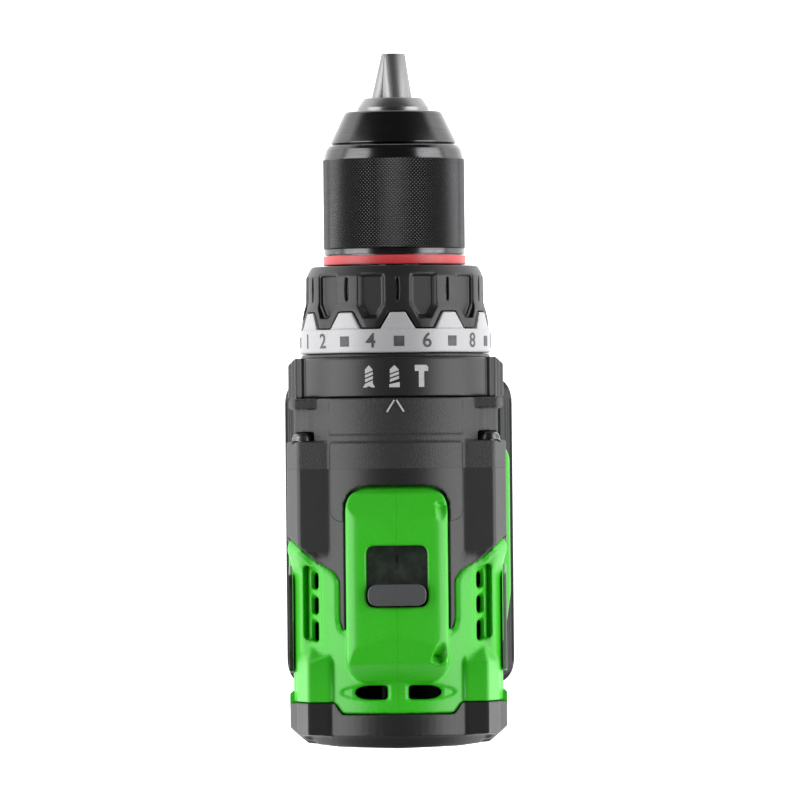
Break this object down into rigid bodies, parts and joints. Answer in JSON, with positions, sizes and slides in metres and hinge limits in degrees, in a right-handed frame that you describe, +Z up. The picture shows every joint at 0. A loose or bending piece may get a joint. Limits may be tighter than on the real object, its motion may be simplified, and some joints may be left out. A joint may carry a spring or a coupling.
{
  "type": "cordless hammer drill",
  "caption": "Pistol-grip cordless hammer drill with a keyless three-jaw chuck, torque collar, mode ring, speed slider and a slide-on battery it stands on.",
  "frame": {"origin": "on the surface the battery stands on, under the middle of the drill's box", "axes": "+Y along the spindle to the chuck's jaws, +X to the operator's right, +Z up; the spindle axis is 186 mm above the origin"},
  "size_m": [0.0732, 0.215, 0.2292],
  "materials": {
    "jaw_steel": "satin",
    "black_metal": "satin",
    "red_plastic": "satin",
    "machine_steel": "satin",
    "screw_steel": "satin",
    "motor_iron": "matt",
    "gearbox_black": "coarse matt",
    "grey_plastic": "matt",
    "black_plastic": "fine matt",
    "soft_grip": "matt",
    "scale_silver": "satin",
    "green_plastic": "fine matt",
    "latch_grey": "matt",
    "badge_black": "gloss",
    "badge_grey": "satin",
    "clear_lens": "clear",
    "circuit_green": "satin",
    "cell_wrap": "satin"
  },
  "bodies": {
    "drill_body": {"gearbox_housing": "gearbox_black", "gearbox_screw_1": "screw_steel", "gearbox_screw_2": "screw_steel", "gearbox_screw_3": "screw_steel", "gearbox_screw_4": "screw_steel", "gearbox_end_plate": "grey_plastic", "spindle_front_bearing": "machine_steel", "ring_gear": "machine_steel", "clutch_spring": "machine_steel", "stator": "motor_iron", "motor_front_bearing": "machine_steel", "motor_rear_bearing": "machine_steel", "housing_left": "green_plastic", "housing_right": "green_plastic", "grip_left": "soft_grip", "grip_right": "soft_grip", "housing_screw_1": "screw_steel", "housing_screw_2": "screw_steel", "housing_screw_3": "screw_steel", "rear_cap": "black_plastic", "rear_cap_screw_1": "screw_steel", "rear_cap_screw_2": "screw_steel", "trigger_switch": "black_plastic", "led_lens": "clear_lens", "badge_left": "badge_black", "badge_right": "badge_grey", "terminal_block": "grey_plastic", "control_board": "circuit_green"},
    "chuck": {"chuck_body": "jaw_steel", "chuck_screw": "screw_steel", "chuck_rear_ring": "red_plastic", "spindle": "machine_steel"},
    "sleeve": {"chuck_sleeve": "black_metal", "chuck_front_cone": "black_metal", "chuck_jaw_nut": "machine_steel"},
    "jaw_1": {"chuck_jaw_1": "jaw_steel"},
    "jaw_2": {"chuck_jaw_2": "jaw_steel"},
    "jaw_3": {"chuck_jaw_3": "jaw_steel"},
    "carrier": {"first_carrier": "machine_steel"},
    "rotor": {"rotor": "motor_iron", "motor_shaft": "machine_steel", "motor_pinion": "machine_steel", "fan": "black_plastic"},
    "torque_collar": {"torque_grip": "soft_grip", "torque_scale_ring": "scale_silver"},
    "mode_ring": {"mode_ring": "black_plastic"},
    "speed_selector": {"speed_slider": "black_plastic"},
    "trigger": {"trigger": "black_plastic"},
    "direction_lever": {"direction_lever": "black_plastic"},
    "battery": {"battery_lower_case": "black_plastic", "battery_upper_case": "black_plastic", "cell_pack": "cell_wrap"},
    "battery_latch": {"battery_latch": "latch_grey"},
    "gauge_button": {"gauge_button": "latch_grey"},
    "first_planet_1": {"first_planet_1": "machine_steel"},
    "first_planet_2": {"first_planet_2": "machine_steel"},
    "first_planet_3": {"first_planet_3": "machine_steel"},
    "second_planet_1": {"second_planet_1": "machine_steel"},
    "second_planet_2": {"second_planet_2": "machine_steel"},
    "second_planet_3": {"second_planet_3": "machine_steel"}
  },
  "joints": [
    {"name": "chuck_spin", "type": "hinge", "parent": "drill_body", "child": "chuck", "pos_m": [0, 0.03, 0.186], "axis": [0, 1, 0], "continuous": true},
    {"name": "sleeve_turn", "type": "hinge", "parent": "chuck", "child": "sleeve", "pos_m": [0, 0.06, 0.186], "axis": [0, 1, 0], "range_deg": [0, 3240]},
    {"name": "jaw_1_slide", "type": "slide", "parent": "chuck", "child": "jaw_1", "axis": [0.0775, -0.974, 0.213], "range_m": [0, 0.0287]},
    {"name": "jaw_2_slide", "type": "slide", "parent": "chuck", "child": "jaw_2", "axis": [-0.2232, -0.974, -0.0394], "range_m": [0, 0.0287]},
    {"name": "jaw_3_slide", "type": "slide", "parent": "chuck", "child": "jaw_3", "axis": [0.1457, -0.974, -0.1736], "range_m": [0, 0.0287]},
    {"name": "carrier_spin", "type": "hinge", "parent": "drill_body", "child": "carrier", "pos_m": [0, -0.035, 0.186], "axis": [0, 1, 0], "continuous": true},
    {"name": "rotor_spin", "type": "hinge", "parent": "drill_body", "child": "rotor", "pos_m": [0, -0.07, 0.186], "axis": [0, 1, 0], "continuous": true},
    {"name": "first_planet_1_spin", "type": "hinge", "parent": "carrier", "child": "first_planet_1", "pos_m": [0.01125, -0.042, 0.186], "axis": [0, 1, 0], "continuous": true},
    {"name": "first_planet_2_spin", "type": "hinge", "parent": "carrier", "child": "first_planet_2", "pos_m": [-0.00562, -0.042, 0.19574], "axis": [0, 1, 0], "continuous": true},
    {"name": "first_planet_3_spin", "type": "hinge", "parent": "carrier", "child": "first_planet_3", "pos_m": [-0.00562, -0.042, 0.17626], "axis": [0, 1, 0], "continuous": true},
    {"name": "second_planet_1_spin", "type": "hinge", "parent": "chuck", "child": "second_planet_1", "pos_m": [0.01125, -0.031, 0.186], "axis": [0, 1, 0], "continuous": true},
    {"name": "second_planet_2_spin", "type": "hinge", "parent": "chuck", "child": "second_planet_2", "pos_m": [-0.00562, -0.031, 0.19574], "axis": [0, 1, 0], "continuous": true},
    {"name": "second_planet_3_spin", "type": "hinge", "parent": "chuck", "child": "second_planet_3", "pos_m": [-0.00562, -0.031, 0.17626], "axis": [0, 1, 0], "continuous": true},
    {"name": "torque_collar_turn", "type": "hinge", "parent": "drill_body", "child": "torque_collar", "pos_m": [0, 0.027, 0.186], "axis": [0, 1, 0], "range_deg": [-77.1, 265.7]},
    {"name": "mode_ring_turn", "type": "hinge", "parent": "drill_body", "child": "mode_ring", "pos_m": [0, 0.007, 0.186], "axis": [0, 1, 0], "range_deg": [-14, 14]},
    {"name": "speed_slide", "type": "slide", "parent": "drill_body", "child": "speed_selector", "axis": [0, 1, 0], "range_m": [0, 0.0115]},
    {"name": "trigger_press", "type": "slide", "parent": "drill_body", "child": "trigger", "axis": [0, -1, 0], "range_m": [0, 0.007], "stiffness_N_per_m": 600, "springref_m": -0.003},
    {"name": "direction_slide", "type": "slide", "parent": "drill_body", "child": "direction_lever", "axis": [1, 0, 0], "range_m": [-0.0025, 0.0025]},
    {"name": "battery_slide", "type": "slide", "parent": "drill_body", "child": "battery", "axis": [0, 1, 0], "range_m": [0, 0.1]},
    {"name": "battery_latch_press", "type": "slide", "parent": "battery", "child": "battery_latch", "axis": [0, 0, -1], "range_m": [0, 0.0035], "stiffness_N_per_m": 1500, "springref_m": -0.002},
    {"name": "gauge_button_press", "type": "slide", "parent": "battery", "child": "gauge_button", "axis": [0, -1, 0], "range_m": [0, 0.0008], "stiffness_N_per_m": 800, "springref_m": -0.001}
  ],
  "couplings": [
    {"joint": "jaw_1_slide", "follows": "sleeve_turn", "m_per_rad": 0.00050753},
    {"joint": "jaw_2_slide", "follows": "sleeve_turn", "m_per_rad": 0.00050753},
    {"joint": "jaw_3_slide", "follows": "sleeve_turn", "m_per_rad": 0.00050753},
    {"joint": "carrier_spin", "follows": "chuck_spin", "ratio": 5},
    {"joint": "rotor_spin", "follows": "chuck_spin", "ratio": 25},
    {"joint": "second_planet_1_spin", "follows": "chuck_spin", "ratio": -2.6667},
    {"joint": "second_planet_2_spin", "follows": "chuck_spin", "ratio": -2.6667},
    {"joint": "second_planet_3_spin", "follows": "chuck_spin", "ratio": -2.6667},
    {"joint": "first_planet_1_spin", "follows": "chuck_spin", "ratio": -13.333},
    {"joint": "first_planet_2_spin", "follows": "chuck_spin", "ratio": -13.333},
    {"joint": "first_planet_3_spin", "follows": "chuck_spin", "ratio": -13.333}
  ]
}
